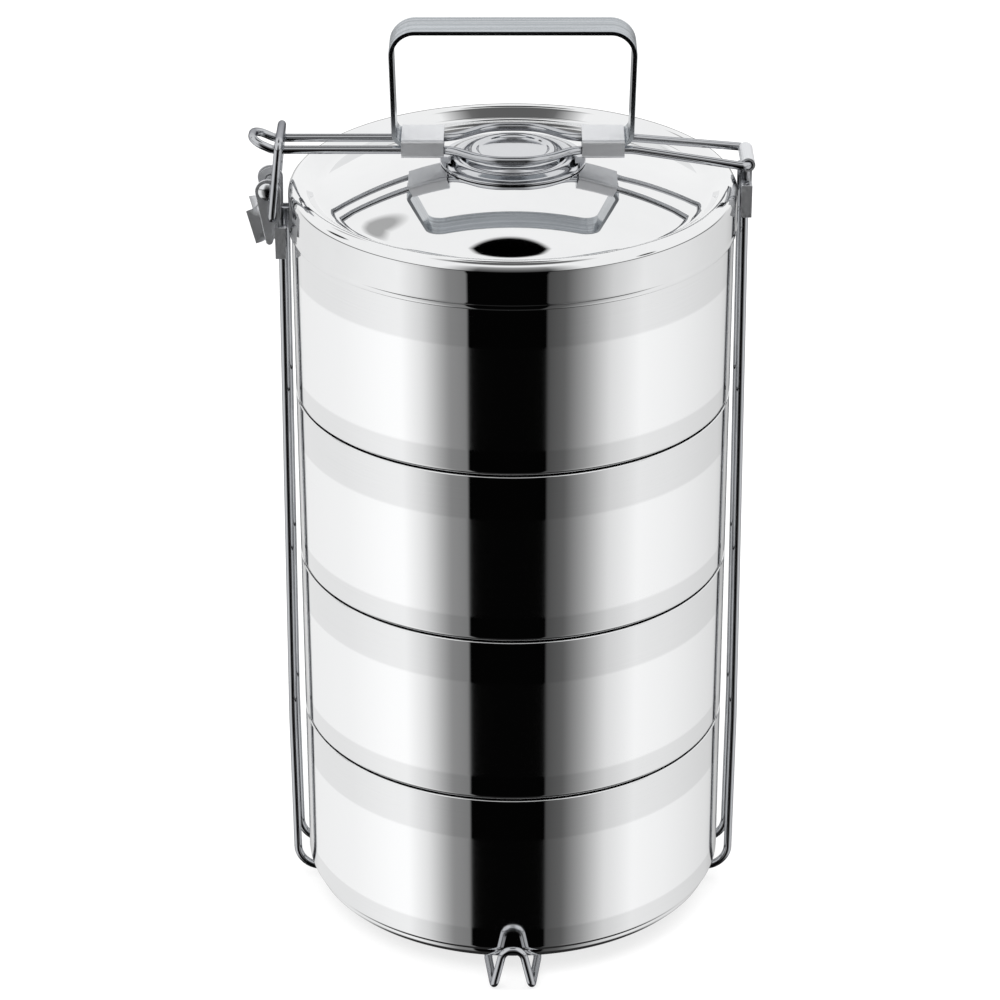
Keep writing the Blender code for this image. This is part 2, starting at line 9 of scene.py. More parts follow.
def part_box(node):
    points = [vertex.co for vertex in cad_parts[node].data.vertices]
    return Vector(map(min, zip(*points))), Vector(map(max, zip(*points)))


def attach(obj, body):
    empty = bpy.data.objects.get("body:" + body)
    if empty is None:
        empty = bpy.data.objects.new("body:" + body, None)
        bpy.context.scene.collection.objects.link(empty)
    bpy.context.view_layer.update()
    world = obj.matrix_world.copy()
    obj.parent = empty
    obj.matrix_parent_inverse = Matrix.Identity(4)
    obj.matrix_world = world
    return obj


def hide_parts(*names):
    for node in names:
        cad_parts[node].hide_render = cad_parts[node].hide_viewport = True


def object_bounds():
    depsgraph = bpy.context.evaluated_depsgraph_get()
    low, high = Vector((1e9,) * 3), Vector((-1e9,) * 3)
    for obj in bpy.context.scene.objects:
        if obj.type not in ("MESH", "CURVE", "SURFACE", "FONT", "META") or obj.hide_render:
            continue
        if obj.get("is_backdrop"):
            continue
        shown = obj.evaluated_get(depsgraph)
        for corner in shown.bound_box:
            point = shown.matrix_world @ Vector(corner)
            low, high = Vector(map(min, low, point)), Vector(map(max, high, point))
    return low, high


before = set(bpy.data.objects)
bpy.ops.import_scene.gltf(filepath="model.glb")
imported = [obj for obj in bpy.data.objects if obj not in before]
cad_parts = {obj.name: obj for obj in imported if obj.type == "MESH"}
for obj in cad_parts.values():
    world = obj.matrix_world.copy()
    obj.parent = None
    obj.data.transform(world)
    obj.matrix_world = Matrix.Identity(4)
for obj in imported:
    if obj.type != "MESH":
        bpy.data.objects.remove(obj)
cad_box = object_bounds()

# Bowls. Four drawn stainless bowls, each 0.8 mm sheet: a straight wall with an open rim, and a base set in so
# that it drops into the bowl below. The wall is polished to a mirror, with a satin band brushed round its
# middle on the lathe. They only rest on each other.
bowl_low, bowl_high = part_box("bowl_1")
STACK_X = (bowl_low.x + bowl_high.x) / 2
WALL_RADIUS = (bowl_high.x - bowl_low.x) / 2
BASE_Z = bowl_low.z
TIER_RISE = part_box("bowl_2")[0].z - BASE_Z
BOWL_HEIGHT = bowl_high.z - BASE_Z
BOWL_SHEET = 0.0008
NEST_HEIGHT = 0.0042
NEST_INSET = 0.0016
BASE_CORNER = 0.0030
FOOT_RING = 0.012            # from the wall in to the pressed ring that stiffens the base
BAND_FOOT = 0.0096           # mirror under the satin band, up from the wall's lower edge
BAND_TOP = 0.0170            # mirror over the satin band, down from the rim
MIRROR = (0.83, 0.835, 0.84, 1)
# The satin band's colour is lighter than the mirror's, though it is the same steel: a painted sheen.
SATIN_PAINTED_SHEEN = (0.93, 0.935, 0.94, 1)
TURN_STEPS = 192


def turned(name, outline, closed=False, steps=TURN_STEPS):
    """A piece spun round the stack's axis from an outline of (radius, height, rounding)."""
    shape = bmesh.new()
    points = [shape.verts.new((radius, 0, height)) for radius, height, rounding in outline]
    for pair in zip(points, points[1:]):
        shape.edges.new(pair)
    if closed:
        shape.edges.new((points[-1], points[0]))
    for point, (radius, height, rounding) in zip(points, outline):
        if rounding:
            bmesh.ops.bevel(shape, geom=[point], offset=rounding, offset_type="OFFSET", affect="VERTICES",
                            segments=5, profile=0.5, material=-1)
    bmesh.ops.spin(shape, geom=shape.verts[:] + shape.edges[:], axis=(0, 0, 1), cent=(0, 0, 0), steps=steps,
                   angle=math.tau, use_merge=True)
    bmesh.ops.remove_doubles(shape, verts=shape.verts, dist=1e-6)
    bmesh.ops.recalc_face_normals(shape, faces=shape.faces)
    bmesh.ops.translate(shape, verts=shape.verts, vec=(STACK_X, 0, 0))
    return placed(name, shape)


def placed(name, shape, crease=40):
    """The finished mesh as an object at the origin, smooth round its bends and flat between them."""
    mesh = bpy.data.meshes.new(name)
    shape.to_mesh(mesh)
    shape.free()
    mesh.shade_smooth()
    mesh.set_sharp_from_angle(angle=math.radians(crease))
    thing = bpy.data.objects.new(name, mesh)
    bpy.context.scene.collection.objects.link(thing)
    flats = thing.modifiers.new("flats", "WEIGHTED_NORMAL")
    flats.keep_sharp = True
    return thing


def steel(name, colour, roughness, grain=(400, 400, 400), wear=0.35, relief=0.02, shade=0.07):
    """Bare steel whose sheen and surface vary along its grain, given as noise cells per metre; the same noise
    darkens its colour by the fraction shade, a random tone that on the handle is deep enough to be painted
    shade.
    """
    material = bpy.data.materials.new(name)
    material.use_nodes = True
    nodes, links = material.node_tree.nodes, material.node_tree.links
    shader = nodes["Principled BSDF"]
    shader.inputs["Metallic"].default_value = 1
    place = nodes.new("ShaderNodeTexCoord")
    stretch = nodes.new("ShaderNodeMapping")
    stretch.inputs["Scale"].default_value = grain
    links.new(place.outputs["Object"], stretch.inputs["Vector"])
    grit = nodes.new("ShaderNodeTexNoise")
    grit.inputs["Scale"].default_value = 1
    grit.inputs["Detail"].default_value = 4
    links.new(stretch.outputs["Vector"], grit.inputs["Vector"])
    tone = nodes.new("ShaderNodeMix")
    tone.data_type = "RGBA"
    tone.inputs["A"].default_value = tuple(channel * (1 - shade) for channel in colour[:3]) + (1,)
    tone.inputs["B"].default_value = colour
    links.new(grit.outputs["Fac"], tone.inputs["Factor"])
    links.new(tone.outputs["Result"], shader.inputs["Base Color"])
    sheen = nodes.new("ShaderNodeMapRange")
    sheen.name = "sheen"
    sheen.inputs["To Min"].default_value = roughness * (1 - wear)
    sheen.inputs["To Max"].default_value = roughness * (1 + wear)
    links.new(grit.outputs["Fac"], sheen.inputs["Value"])
    links.new(sheen.outputs["Result"], shader.inputs["Roughness"])
    bump = nodes.new("ShaderNodeBump")
    bump.inputs["Strength"].default_value = relief
    bump.inputs["Distance"].default_value = 0.0002
    links.new(grit.outputs["Fac"], bump.inputs["Height"])
    links.new(bump.outputs["Normal"], shader.inputs["Normal"])
    return material


def band_steel(number):
    """Mirror steel with the satin band at this tier's height, the band tinted lighter than the mirror as a
    painted sheen; the grain runs round the wall.
    """
    material = steel(f"bowl_{number}_steel", MIRROR, 0.03, grain=(30, 30, 5200), relief=0.006)
    nodes, links = material.node_tree.nodes, material.node_tree.links
    shader = nodes["Principled BSDF"]
    wall = nodes.new("ShaderNodeSeparateXYZ")
    links.new(nodes["Texture Coordinate"].outputs["Object"], wall.inputs["Vector"])
    foot = BASE_Z + (number - 1) * TIER_RISE + NEST_HEIGHT
    height = nodes.new("ShaderNodeMapRange")
    height.inputs["From Min"].default_value = foot
    height.inputs["From Max"].default_value = foot + TIER_RISE
    links.new(wall.outputs["Z"], height.inputs["Value"])
    band = nodes.new("ShaderNodeValToRGB")
    edge = 0.0005 / TIER_RISE
    low, high = BAND_FOOT / TIER_RISE, 1 - BAND_TOP / TIER_RISE
    band.color_ramp.elements[0].position = low - edge
    band.color_ramp.elements[0].color = (0, 0, 0, 1)
    band.color_ramp.elements[1].position = low + edge
    for position, level in ((high - edge, 1), (high + edge, 0)):
        band.color_ramp.elements.new(position).color = (level, level, level, 1)
    links.new(height.outputs["Result"], band.inputs["Fac"])
    satin = nodes.new("ShaderNodeMapRange")
    satin.inputs["To Min"].default_value = 0.07
    satin.inputs["To Max"].default_value = 0.10
    links.new(nodes["Noise Texture"].outputs["Fac"], satin.inputs["Value"])
    choice = nodes.new("ShaderNodeMix")
    links.new(band.outputs["Color"], choice.inputs["Factor"])
    links.new(nodes["sheen"].outputs["Result"], choice.inputs["A"])
    links.new(satin.outputs["Result"], choice.inputs["B"])
    links.new(choice.outputs["Result"], shader.inputs["Roughness"])
    # The band is tinted lighter than the mirror: painted sheen.
    tint = nodes.new("ShaderNodeMix")
    tint.data_type = "RGBA"
    tint.inputs["B"].default_value = SATIN_PAINTED_SHEEN
    links.new(band.outputs["Color"], tint.inputs["Factor"])
    links.new(nodes["Mix"].outputs["Result"], tint.inputs["A"])
    links.new(tint.outputs["Result"], shader.inputs["Base Color"])
    return material


for number in (1, 2, 3, 4):
    foot = BASE_Z + (number - 1) * TIER_RISE
    rim = foot + BOWL_HEIGHT
    nest = WALL_RADIUS - NEST_INSET
    inner = WALL_RADIUS - BOWL_SHEET
    shoulder = foot + NEST_HEIGHT
    outline = [(0, foot + 0.0006, 0), (nest - FOOT_RING - 0.002, foot + 0.0006, 0), (nest - FOOT_RING, foot, 0)]
    outline += [(nest, foot, BASE_CORNER), (nest, shoulder, 0.0003), (WALL_RADIUS, shoulder, 0.0020)]
    outline += [(WALL_RADIUS, rim, 0.0004), (inner, rim, 0.0004), (inner, shoulder + BOWL_SHEET, 0.0006)]
    outline += [(nest - BOWL_SHEET, shoulder + BOWL_SHEET, 0.0003)]
    outline += [(nest - BOWL_SHEET, foot + BOWL_SHEET, BASE_CORNER - BOWL_SHEET)]
    outline += [(nest - FOOT_RING, foot + BOWL_SHEET, 0), (nest - FOOT_RING - 0.002, foot + 0.0014, 0)]
    outline += [(0, foot + 0.0014, 0)]
    bowl = turned(f"bowl_{number}_drawn", outline)
    bowl.data.materials.append(band_steel(number))
    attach(bowl, f"tier_{number}")
    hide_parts(f"bowl_{number}")

# Lid. Pressed from 0.6 mm stainless sheet: a skirt that slips over the top bowl's rim, a rolled shoulder, a
# channel, and a shallow dome. An inner bead stops it on the rim. It is mirror polished all over.
lid_low, lid_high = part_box("lid")
LID_RADIUS = (lid_high.x - lid_low.x) / 2
LID_SHEET = 0.0006
RIM_Z = bowl_low.z + 3 * TIER_RISE + BOWL_HEIGHT
SKIRT_TOP = RIM_Z + 0.0108
LID_ROLL = 0.0040
CREST_Z = SKIRT_TOP + LID_ROLL
CHANNEL_Z = CREST_Z - 0.0036
CHANNEL_INSET = 0.0125
LID_BEAD = 0.0016
HEM_SWELL = 0.0003           # how far the skirt's hem stands out
DOME_RADIUS = LID_RADIUS - CHANNEL_INSET
DOME_RISE = lid_high.z - CHANNEL_Z
DOME_SPHERE = (DOME_RADIUS ** 2 + DOME_RISE ** 2) / (2 * DOME_RISE)
DOME_RINGS = 28


def dome_z(radius):
    """Height of the outside of the dome."""
    return lid_high.z - DOME_SPHERE + math.sqrt(DOME_SPHERE ** 2 - radius ** 2)


roll = LID_RADIUS - LID_ROLL
rings = [DOME_RADIUS * ring / DOME_RINGS for ring in range(DOME_RINGS)]
dome = [(radius, dome_z(radius), 0) for radius in rings]
gutter = [(DOME_RADIUS + 0.0006, CHANNEL_Z, 0.0008), (DOME_RADIUS + 0.0030, CHANNEL_Z, 0.0008)]
gutter += [(roll - 0.0012, CREST_Z, 0.0016), (LID_RADIUS, CREST_Z, LID_ROLL)]
hem = [(LID_RADIUS, lid_low.z + 0.0022, 0.0003)]
hem += [(LID_RADIUS + HEM_SWELL, lid_low.z + 0.0011, 0.0006)]
hem += [(LID_RADIUS, lid_low.z, 0.00025), (LID_RADIUS - LID_SHEET, lid_low.z, 0.00025)]
skin = LID_RADIUS - LID_SHEET
bead = [(skin, RIM_Z + 0.0003, 0), (skin - LID_BEAD, RIM_Z + 0.0003, 0.0002)]
bead += [(skin - LID_BEAD, RIM_Z + 0.0009, 0.0002), (skin, RIM_Z + 0.0019, 0)]
under = [(LID_RADIUS - LID_SHEET, CREST_Z - LID_SHEET, LID_ROLL - LID_SHEET)]
under += [(roll - 0.0012, CREST_Z - LID_SHEET, 0.0016), (DOME_RADIUS + 0.0030, CHANNEL_Z - LID_SHEET, 0.0008)]
under += [(DOME_RADIUS + 0.0006, CHANNEL_Z - LID_SHEET, 0.0008)]
dome_under = [(radius, height - LID_SHEET, 0) for radius, height, rounding in reversed(dome)]
lid = turned("lid_pressed", dome + gutter + hem + bead + under + dome_under)
lid.data.materials.append(steel("lid_steel", MIRROR, 0.025, grain=(60, 60, 60), relief=0.004))
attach(lid, "cover")
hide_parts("lid")

# Knob. A low stamped hat welded on the middle of the dome: a flange in two steps, a rounded rim and a sunk
# disc with a satin face, so that the top wire's eye can pass round its rim.
knob_low, knob_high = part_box("lid_knob")
KNOB_RADIUS = (knob_high.x - knob_low.x) / 2
KNOB_RIM = 0.0150
KNOB_STEP = (KNOB_RADIUS - KNOB_RIM) / 3
KNOB_FALL = (knob_high.z - knob_low.z) * 0.30
KNOB_SHEET = 0.0008
knob_top = knob_high.z
stamped = [(0, knob_top - 0.0011, 0), (KNOB_RIM - 0.0028, knob_top - 0.0011, 0.0004)]
stamped += [(KNOB_RIM - 0.0020, knob_top, 0.0006), (KNOB_RIM, knob_top, 0.0008)]
for ring in (1, 2):
    level = knob_top - KNOB_FALL * ring
    stamped += [(KNOB_RIM + KNOB_STEP * (ring - 1) + 0.0006, level, 0.0005)]
    stamped += [(KNOB_RIM + KNOB_STEP * ring - 0.0012, level + 0.0003, 0.0008)]
stamped += [(KNOB_RADIUS - 0.0022, knob_low.z + 0.0010, 0.0006), (KNOB_RADIUS, knob_low.z + 0.0008, 0.0003)]
stamped += [(KNOB_RADIUS, knob_low.z, 0), (KNOB_RADIUS - 0.0020, knob_low.z + 0.0002, 0)]
stamped += [(KNOB_RIM, knob_top - 0.0024, 0), (KNOB_RIM - 0.0028, knob_top - 0.0019, 0)]
stamped += [(0, knob_top - 0.0019, 0)]
knob = turned("lid_knob_stamped", stamped, steps=128)
knob.data.materials.append(steel("knob_steel", (0.62, 0.63, 0.65, 1), 0.08, grain=(900, 900, 900), relief=0.02))
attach(knob, "cover")
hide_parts("lid_knob")

# Side wires. Two long U-shaped wires of 3 mm bright drawn stainless, one in front of the other: down from the
# latch, under the stack with two dips that stand on the floor, and up to the hinge. The brackets at their
# ends and the foot wire are spot welded to them.
WIRE = 0.0030
WIRE_R = WIRE / 2
WELD_GAP = 0.0003
SIDE_BOW = 0.0018
SIDE_BEND = 0.0090
DIP_PLACE = 0.061
DIP_HALF = 0.0030
DIP_RAMP = 0.0060
# The wires' steel is given a much darker colour than the bowls': painted shade for the grey look of the wires.
WIRE_SHADED_TONE = (0.52, 0.53, 0.55, 1)
side_x = LID_RADIUS + WELD_GAP + WIRE_R
run_z = WIRE_R + WIRE + WELD_GAP


def bent(corners, steps=10):
    """Centreline of a bent wire or strip, from corners of (point, bend radius)."""
    line = []
    for i, (corner, radius) in enumerate(corners):
        corner = Vector(corner)
        if radius == 0:
            line.append(corner)
            continue
        to_last = (Vector(corners[i - 1][0]) - corner).normalized()
        to_next = (Vector(corners[(i + 1) % len(corners)][0]) - corner).normalized()
        half = to_last.angle(to_next) / 2
        centre = corner + (to_last + to_next).normalized() * radius / math.sin(half)
        start = (corner + to_last * radius / math.tan(half) - centre).normalized()
        end = (corner + to_next * radius / math.tan(half) - centre).normalized()
        line += [centre + start.slerp(end, step / steps) * radius for step in range(steps + 1)]
    return line


def mirrored(corners):
    """The same corners with their other half, across the middle plane."""
    return corners + [((x, -y, z), radius) for (x, y, z), radius in reversed(corners)]


def wire(name, line, closed=False, radius=WIRE_R):
    """A round wire along a centreline given from the stack's axis."""
    curve = bpy.data.curves.new(name, "CURVE")
    curve.dimensions = "3D"
    curve.bevel_depth = radius
    curve.bevel_resolution = 5
    curve.use_fill_caps = True
    spline = curve.splines.new("POLY")
    spline.points.add(len(line) - 1)
    for point, place in zip(spline.points, line):
        point.co = (place.x + STACK_X, place.y, place.z, 1)
    spline.use_cyclic_u = closed
    spline.use_smooth = True
    thing = bpy.data.objects.new(name, curve)
    bpy.context.scene.collection.objects.link(thing)
    return thing


wire_steel = steel("wire_steel", WIRE_SHADED_TONE, 0.10, grain=(700, 700, 250), relief=0.03)
# The edge tint is darkened so that the wires go dark towards their outlines: painted shade.
wire_steel.node_tree.nodes["Principled BSDF"].inputs["Specular Tint"].default_value = (0.3, 0.3, 0.32, 1)
for node in ("side_wire_front", "side_wire_back"):
    low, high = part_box(node)
    y = (low.y + high.y) / 2
    wide = side_x + SIDE_BOW
    half = [((wide, y, BASE_Z + TIER_RISE), WALL_RADIUS * 4), ((wide - SIDE_BOW / 4, y, run_z), SIDE_BEND)]
    half += [((DIP_PLACE + DIP_HALF + DIP_RAMP, y, run_z), WIRE), ((DIP_PLACE + DIP_HALF, y, WIRE_R), WIRE)]
    half += [((DIP_PLACE - DIP_HALF, y, WIRE_R), WIRE), ((DIP_PLACE - DIP_HALF - DIP_RAMP, y, run_z), WIRE)]
    left = [((-x, depth, z), radius) for (x, depth, z), radius in half]
    latch_end = ((-side_x, y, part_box("latch_loop")[0].z - WIRE_R - WELD_GAP), 0)
    hinge_end = ((side_x, y, high.z), 0)
    side_wire = wire(node + "_drawn", bent([latch_end] + left + half[::-1] + [hinge_end]))
    side_wire.data.materials.append(wire_steel)
    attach(side_wire, "frame")
    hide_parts(node)

# Foot wire. One closed 3 mm wire under the stack from front to back, welded across the side wires. Each end is
# bent up into a small pointed stop between two toes, which keeps the bottom bowl from sliding out.
foot_low, foot_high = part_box("foot_wire")
FOOT_SPACING = 0.0184
TOE_SPACING = 0.0140
reach = foot_high.y - WIRE_R - WIRE_R / 2
STOP_Z = 0.0165              # height of the stop's corner before it is rounded
STOP_BEND = 0.0043
toe = [((FOOT_SPACING / 2, -reach * 0.8, WIRE_R), WIRE * 2)]
toe += [((TOE_SPACING / 2, -reach - WIRE_R / 2, WIRE_R), WIRE * 0.7)]
toe += [((TOE_SPACING / 4, -reach, STOP_Z), STOP_BEND)]
front = toe + [((-x, y, z), radius) for (x, y, z), radius in reversed(toe)]
back = [((-x, -y, z), radius) for (x, y, z), radius in front]
foot_wire = wire("foot_wire_drawn", bent(front + back), closed=True)
foot_wire.data.materials.append(wire_steel)
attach(foot_wire, "frame")
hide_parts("foot_wire")

# Hinge bracket and latch bracket. Folded from 0.8 mm bright steel sheet, with sleeves crimped round the side
# wires. The hinge end is rolled to a knuckle, and the latch end has two ears for the lever's rivet.
sheet_steel = steel("sheet_steel", (0.82, 0.83, 0.85, 1), 0.50, grain=(800, 300, 1500), relief=0.05)
for node in ("hinge_bracket", "latch_bracket"):
    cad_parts[node].data.materials.clear()
    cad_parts[node].data.materials.append(sheet_steel)

# Latch lever. A cap of 0.8 mm steel sheet: two cheeks with round heads on the rivet, joined by a web down the
# outside of the tapered tail. The rivet and the loop's ends run through the cheeks.
lever_low, lever_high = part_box("latch_lever")
rivet_low, rivet_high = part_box("latch_rivet")
loop_low, loop_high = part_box("latch_loop")
SHEET = 0.0008
CHEEK_HEAD = 0.0046
TAIL_END = 0.0013
PIVOT_HEAD = 0.0030
rivet_x = (rivet_low.x + rivet_high.x) / 2
rivet_z = (rivet_low.z + rivet_high.z) / 2
loop_pivot = (loop_low.x + WIRE_R, loop_low.z + WIRE_R)


def wrapped(shape, discs, low, high, segments=48):
    """Adds a plate across Y whose outline wraps tightly round discs of (x, z, radius), its edges eased."""
    plate = bmesh.new()
    for x, z, radius in discs:
        for y in (low, high):
            stand = Matrix.Translation((x, y, z)) @ Matrix.Rotation(math.radians(90), 4, "X")
            bmesh.ops.create_circle(plate, radius=radius, segments=segments, matrix=stand)
    bmesh.ops.convex_hull(plate, input=plate.verts)
    bmesh.ops.delete(plate, geom=[point for point in plate.verts if not point.link_faces], context="VERTS")
    bmesh.ops.dissolve_limit(plate, angle_limit=math.radians(1), verts=plate.verts, edges=plate.edges)
    rim = [edge for edge in plate.edges if edge.calc_face_angle(0) > math.radians(60)]
    bmesh.ops.bevel(plate, geom=rim, offset=(high - low) * 0.3, offset_type="OFFSET", affect="EDGES",
                    segments=3, profile=0.5, material=-1)
    bmesh.ops.recalc_face_normals(plate, faces=plate.faces)
    part = bpy.data.meshes.new("part")
    plate.to_mesh(part)
    plate.free()
    shape.from_mesh(part)
    bpy.data.meshes.remove(part)


shape = bmesh.new()
cheek = [(rivet_x, rivet_z, CHEEK_HEAD), (*loop_pivot, PIVOT_HEAD), (rivet_x, lever_low.z + TAIL_END, TAIL_END)]
for low, high in ((lever_low.y, lever_low.y + SHEET), (lever_high.y - SHEET, lever_high.y)):
    wrapped(shape, cheek, low, high)
web = [(rivet_x - CHEEK_HEAD + SHEET / 2, loop_pivot[1] + PIVOT_HEAD, SHEET / 2)]
web += [(rivet_x - TAIL_END + SHEET / 2, lever_low.z + TAIL_END, SHEET / 2)]
wrapped(shape, web, lever_low.y + SHEET / 2, lever_high.y - SHEET / 2)
lever = placed("latch_lever_folded", shape, crease=60)
lever.data.materials.append(sheet_steel)
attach(lever, "lever")
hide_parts("latch_lever")

# Rivet. A steel pin through the bracket's ears and the lever's cheeks, both of its ends hammered to low domes.
RIVET_SHANK = 0.0014
RIVET_HEAD = 0.0034
shape = bmesh.new()
face = lever_high.y + WELD_GAP
pin = [(0, rivet_high.y), (RIVET_HEAD * 0.5, rivet_high.y - 0.0002)]
pin += [(RIVET_HEAD * 0.85, rivet_high.y - 0.0006), (RIVET_HEAD, face), (RIVET_SHANK, face)]
pin += [(radius, -height) for radius, height in reversed(pin)]
points = [shape.verts.new((radius, 0, height)) for radius, height in pin]
edges = [shape.edges.new(pair) for pair in zip(points, points[1:])]
bmesh.ops.spin(shape, geom=points + edges, axis=(0, 0, 1), cent=(0, 0, 0), steps=48, angle=math.tau,
               use_merge=True)
bmesh.ops.remove_doubles(shape, verts=shape.verts, dist=1e-6)
bmesh.ops.recalc_face_normals(shape, faces=shape.faces)
bmesh.ops.rotate(shape, verts=shape.verts, cent=(0, 0, 0), matrix=Matrix.Rotation(math.radians(90), 3, "X"))
bmesh.ops.translate(shape, verts=shape.verts, vec=(rivet_x, 0, rivet_z))
rivet = placed("latch_rivet_hammered", shape)
rivet_steel = steel("rivet_steel", (0.78, 0.79, 0.80, 1), 0.16, grain=(900, 900, 900), relief=0.05)
rivet.data.materials.append(rivet_steel)
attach(rivet, "frame")
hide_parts("latch_rivet")

# Latch loop. A 3 mm wire bent to a bail, its ends in the lever's holes. Its crossbar hooks over the top wire,
# in the valley before the finger tab.
LOOP_SPACING = 0.0220
loop_foot = (loop_low.x + WIRE_R - STACK_X, loop_low.z + WIRE_R)
crossbar = (loop_high.x - WIRE_R - STACK_X, loop_high.z - WIRE_R)
loop = [((loop_foot[0], -0.0069, loop_foot[1]), 0), ((loop_foot[0], -LOOP_SPACING / 2, loop_foot[1]), 0.0018)]
loop += [((crossbar[0], -LOOP_SPACING / 2, crossbar[1]), 0.0030)]
latch_loop = wire("latch_loop_drawn", bent(mirrored(loop)))
latch_loop.data.materials.append(wire_steel)
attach(latch_loop, "loop")
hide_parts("latch_loop")

# Top wire. One 3 mm wire: both ends turn in the hinge's knuckle, its two runs pass through the handle's
# clips, spread to an eye round the knob, and meet in a finger tab past the latch.
wire_low, wire_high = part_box("top_wire")
TOP_SPACING = 0.0120
HINGE_SPREAD = 0.0200
EYE_WIDTH = 0.0344
EYE_LENGTH = 0.044
EYE_CROWN = 0.018
VALLEY = 0.0026              # from the loop's crossbar out to the foot of the tab
TAB_RISE = 0.0034
clip_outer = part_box("handle_clip_right")[1].x - STACK_X
top_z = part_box("handle_clip_right")[0].z + 0.0006 + WELD_GAP + WIRE_R
hinge_x = wire_high.x - WIRE_R - STACK_X
hinge_z = wire_low.z + WIRE_R
tab_x = wire_low.x + WIRE_R - STACK_X
tab_z = top_z + TAB_RISE
run = -TOP_SPACING / 2
corners = [((hinge_x, -WIRE_R, hinge_z), 0), ((hinge_x, -HINGE_SPREAD / 2, hinge_z), WIRE * 0.75)]
corners += [((clip_outer + WIRE, run, top_z), WIRE * 8), ((EYE_LENGTH / 2, run, top_z), 0.015)]
corners += [((EYE_CROWN / 2, -EYE_WIDTH / 2, top_z), EYE_CROWN)]
corners += [((-EYE_CROWN / 2, -EYE_WIDTH / 2, top_z), EYE_CROWN)]
corners += [((-EYE_LENGTH / 2, run, top_z), 0.015), ((crossbar[0] - VALLEY, run, top_z), WIRE * 2)]
corners += [((tab_x, run, tab_z), TOP_SPACING * 0.4)]
top_wire = wire("top_wire_drawn", bent(mirrored(corners)))
top_wire.data.materials.append(wire_steel)
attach(top_wire, "top")
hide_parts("top_wire")

# Handle. A 16 mm strip of satin steel rolled with fine ribs along its outside, bent to a carrying handle, and
# its feet turned in under the clips.
handle_low, handle_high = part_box("handle_strip")
STRIP_WIDTH = handle_high.y - handle_low.y
STRIP_THICK = 0.0016
STRIP_BEND = 0.0085
FOOT_BEND = 0.0035
STRIP_LEAN = 0.0010
RIBS = 7
RIB_RISE = 0.00022
grip_half = (handle_high.x - handle_low.x) / 2 - STRIP_THICK / 2
grip_z = handle_high.z - STRIP_THICK / 2
feet_z = handle_low.z + STRIP_THICK / 2
clip_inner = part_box("handle_clip_right")[0].x - STACK_X


def swept(name, section, line):
    """A strip whose section, points of (across, out), is carried along a line in the plane of X and Z."""
    shape = bmesh.new()
    ring = [shape.verts.new((0, across, out)) for across, out in section]
    edges = [shape.edges.new((ring[i - 1], ring[i])) for i in range(len(ring))]
    first = bmesh.ops.contextual_create(shape, geom=edges)["faces"]
    for i, place in enumerate(line):
        along = (line[min(i + 1, len(line) - 1)] - line[max(i - 1, 0)]).normalized()
        out = Vector((-along.z, 0, along.x))
        if i:
            grown = bmesh.ops.extrude_edge_only(shape, edges=edges)["geom"]
            edges = [part for part in grown if isinstance(part, bmesh.types.BMEdge) and part.is_boundary]
            ring = [part for part in grown if isinstance(part, bmesh.types.BMVert)]
        for point, (across, height) in zip(ring, section):
            point.co = Vector((place.x + STACK_X, across, place.z)) + out * height
    bmesh.ops.contextual_create(shape, geom=edges)
    bmesh.ops.recalc_face_normals(shape, faces=shape.faces)
    return placed(name, shape, crease=50)


ribbed = [(-STRIP_WIDTH / 2, -STRIP_THICK / 2), (-STRIP_WIDTH / 2, STRIP_THICK / 2 - RIB_RISE)]
for rib in range(RIBS):
    start = -STRIP_WIDTH / 2 + STRIP_WIDTH * (rib + 0.18) / RIBS
    end = -STRIP_WIDTH / 2 + STRIP_WIDTH * (rib + 0.82) / RIBS
    ribbed += [(start, STRIP_THICK / 2 - RIB_RISE), (start * 0.75 + end * 0.25, STRIP_THICK / 2)]
    ribbed += [(start * 0.25 + end * 0.75, STRIP_THICK / 2), (end, STRIP_THICK / 2 - RIB_RISE)]
ribbed += [(STRIP_WIDTH / 2, STRIP_THICK / 2 - RIB_RISE), (STRIP_WIDTH / 2, -STRIP_THICK / 2)]
leg = [((-clip_inner, 0, feet_z), 0), ((-grip_half + STRIP_LEAN, 0, feet_z), FOOT_BEND)]
leg += [((-grip_half, 0, grip_z), STRIP_BEND)]
other = [((-x, y, z), radius) for (x, y, z), radius in reversed(leg)]
handle = swept("handle_strip_ribbed", ribbed, bent(leg + other, 14))
# The handle's colour is streaked dark along the strip, down to a quarter of its tone: painted shade for the rib
# lines, on top of the ribbed shape and bump.
handle_steel = steel("handle_steel", (0.70, 0.74, 0.78, 1), 0.20, grain=(12, 900, 12), relief=0.10, shade=0.75)
handle.data.materials.append(handle_steel)
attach(handle, "top")
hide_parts("handle_strip")

# Clips. Two sleeves of 0.6 mm sheet folded round both runs of the top wire and the handle's feet, then pressed
# flat; their corners are rounded by the fold.
for node in ("handle_clip_left", "handle_clip_right"):
    low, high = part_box(node)
    shape = bmesh.new()
    middle = (low + high) / 2
    size = high - low
    bmesh.ops.create_cube(shape, size=1, matrix=Matrix.Translation(middle) @ Matrix.Diagonal((*size, 1)))
    ends = [face for face in shape.faces if abs(face.normal.x) > 0.5]
    bmesh.ops.delete(shape, geom=ends, context="FACES")
    folds = [edge for edge in shape.edges if not edge.is_boundary]
    bmesh.ops.bevel(shape, geom=folds, offset=0.0014, offset_type="OFFSET", affect="EDGES", segments=6,
                    profile=0.5, material=-1)
    bmesh.ops.recalc_face_normals(shape, faces=shape.faces)
    for face in shape.faces:
        if face.normal.dot(face.calc_center_median() - middle) < 0:
            face.normal_flip()
    bmesh.ops.solidify(shape, geom=shape.faces[:], thickness=0.0006)
    clip = placed(node + "_folded", shape)
    clip.data.materials.append(sheet_steel)
    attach(clip, "top")
    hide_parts(node)

